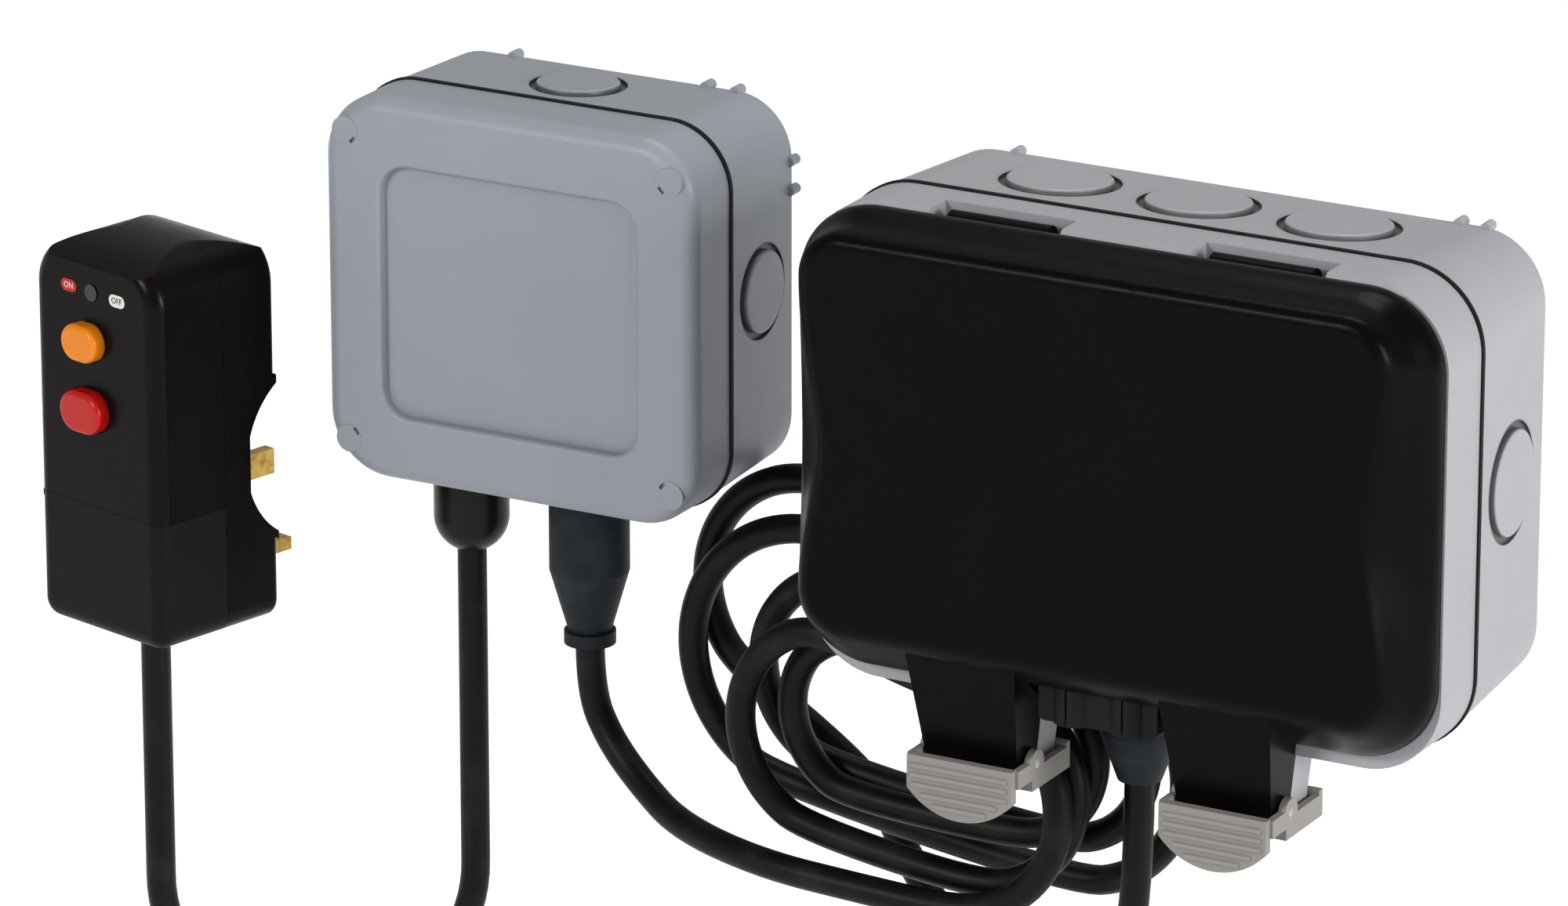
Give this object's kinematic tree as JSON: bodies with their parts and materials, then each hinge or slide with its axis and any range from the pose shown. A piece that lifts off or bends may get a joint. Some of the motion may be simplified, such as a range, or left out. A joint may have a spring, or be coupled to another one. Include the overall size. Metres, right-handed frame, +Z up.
{
  "type": "outdoor rcd socket kit",
  "caption": "Weatherproof double socket with hinged lid, junction box and residual current plug joined by rubber cable.",
  "frame": {"origin": "centre of the double socket's four wall fixing holes, in the wall plane", "axes": "+X to the right along the wall, +Y into the wall, +Z up; fronts face -Y"},
  "size_m": [0.4538, 0.1103, 0.3061],
  "materials": {
    "box": "matt grey moulded plastic",
    "lid": "satin black moulded plastic",
    "jb": "satin light grey moulded plastic",
    "jb_cap": "satin light grey plastic",
    "seal": "matt black rubber",
    "steel": "zinc plated",
    "latch": "matt grey plastic",
    "white": "satin white plastic",
    "grey_inner": "matt moulded plastic",
    "brass": "machined",
    "boot": "matt blue black rubber",
    "gland": "smooth black rubber",
    "plug": "satin black plastic",
    "plug_cover": "matt black plastic",
    "reset": "gloss orange plastic",
    "test": "gloss red plastic",
    "board": "coated laminate",
    "iron": "coated core",
    "copper": "lacquered winding",
    "flag": "gloss red plastic",
    "lens": "clear plastic window",
    "ceramic": "glazed ceramic tube",
    "cable": "satin black rubber sheath"
  },
  "bodies": {
    "base": {"back_box": "box", "box_seal": "seal", "front_frame": "box", "lid_seal": "seal", "cord_seal": "seal", "hinge_pins": "steel", "socket_plate": "white", "socket_housing": "white", "live_contacts": "brass", "neutral_contacts": "brass", "earth_contacts": "brass", "plate_screws": "steel", "frame_screws": "steel", "socket_boot": "boot", "socket_locknut": "boot", "jb_box": "jb", "jb_seal": "seal", "jb_cover": "jb", "jb_screw_caps": "jb_cap", "jb_cover_screws": "steel", "terminal_block": "grey_inner", "terminal_sleeves": "brass", "terminal_screws": "steel", "jb_boot": "boot", "jb_gland_dome": "gland", "jb_locknuts": "boot", "plug_front_case": "plug", "plug_terminal_cover": "plug_cover", "plug_rear_case": "plug", "earth_pin": "brass", "line_pin": "brass", "neutral_pin": "brass", "reset_spring": "steel", "test_spring": "steel", "plug_circuit_board": "board", "sensing_toroid": "iron", "trip_solenoid": "copper", "window_lens": "lens", "fuse_cartridge": "ceramic", "fuse_clips": "brass", "cord_grip": "grey_inner", "plug_case_screws": "steel", "plug_grommet": "gland", "cord_supply": "cable", "cord_lead": "cable", "cord_coil": "cable", "cord_drop": "cable"},
    "lid": {"lid": "lid", "latch_pins": "steel"},
    "latch_left": {"latch_left": "latch"},
    "latch_right": {"latch_right": "latch"},
    "rocker_left": {"rocker_left": "white"},
    "rocker_right": {"rocker_right": "white"},
    "shutter_left": {"shutter_left": "grey_inner"},
    "shutter_right": {"shutter_right": "grey_inner"},
    "reset_button": {"reset_button": "reset"},
    "test_button": {"test_button": "test"},
    "status_flag": {"status_flag": "flag"},
    "contact_carrier": {"contact_carrier": "grey_inner"}
  },
  "joints": [
    {"name": "lid_hinge", "type": "hinge", "parent": "base", "child": "lid", "pos_m": [0, -0.0695, 0.067], "axis": [-1, 0, 0], "range_deg": [0, 95]},
    {"name": "left_latch_hinge", "type": "hinge", "parent": "lid", "child": "latch_left", "pos_m": [-0.0405, -0.081, -0.087], "axis": [-1, 0, 0], "range_deg": [0, 28]},
    {"name": "right_latch_hinge", "type": "hinge", "parent": "lid", "child": "latch_right", "pos_m": [0.0405, -0.081, -0.087], "axis": [-1, 0, 0], "range_deg": [0, 28]},
    {"name": "left_rocker_hinge", "type": "hinge", "parent": "base", "child": "rocker_left", "pos_m": [-0.017, -0.0725, 0.035], "axis": [1, 0, 0], "range_deg": [0, 12]},
    {"name": "right_rocker_hinge", "type": "hinge", "parent": "base", "child": "rocker_right", "pos_m": [0.017, -0.0725, 0.035], "axis": [1, 0, 0], "range_deg": [0, 12]},
    {"name": "left_shutter_slide", "type": "slide", "parent": "base", "child": "shutter_left", "axis": [0, 0, -1], "range_m": [0, 0.006], "stiffness_N_per_m": 40, "springref_m": -0.002},
    {"name": "right_shutter_slide", "type": "slide", "parent": "base", "child": "shutter_right", "axis": [0, 0, -1], "range_m": [0, 0.006], "stiffness_N_per_m": 40, "springref_m": -0.002},
    {"name": "reset_press", "type": "slide", "parent": "base", "child": "reset_button", "axis": [0.2588, 0.9659, 0], "range_m": [0, 0.0025], "stiffness_N_per_m": 400, "springref_m": -0.001, "deforming": ["reset_spring"]},
    {"name": "test_press", "type": "slide", "parent": "base", "child": "test_button", "axis": [0.2588, 0.9659, 0], "range_m": [0, 0.0025], "stiffness_N_per_m": 400, "springref_m": -0.001, "deforming": ["test_spring"]},
    {"name": "flag_slide", "type": "slide", "parent": "base", "child": "status_flag", "axis": [0, 0, 1], "range_m": [0, 0.005]},
    {"name": "carrier_slide", "type": "slide", "parent": "base", "child": "contact_carrier", "axis": [0.2588, 0.9659, 0], "range_m": [0, 0.0025]}
  ],
  "couplings": [
    {"joint": "flag_slide", "follows": "carrier_slide", "ratio": 2}
  ]
}
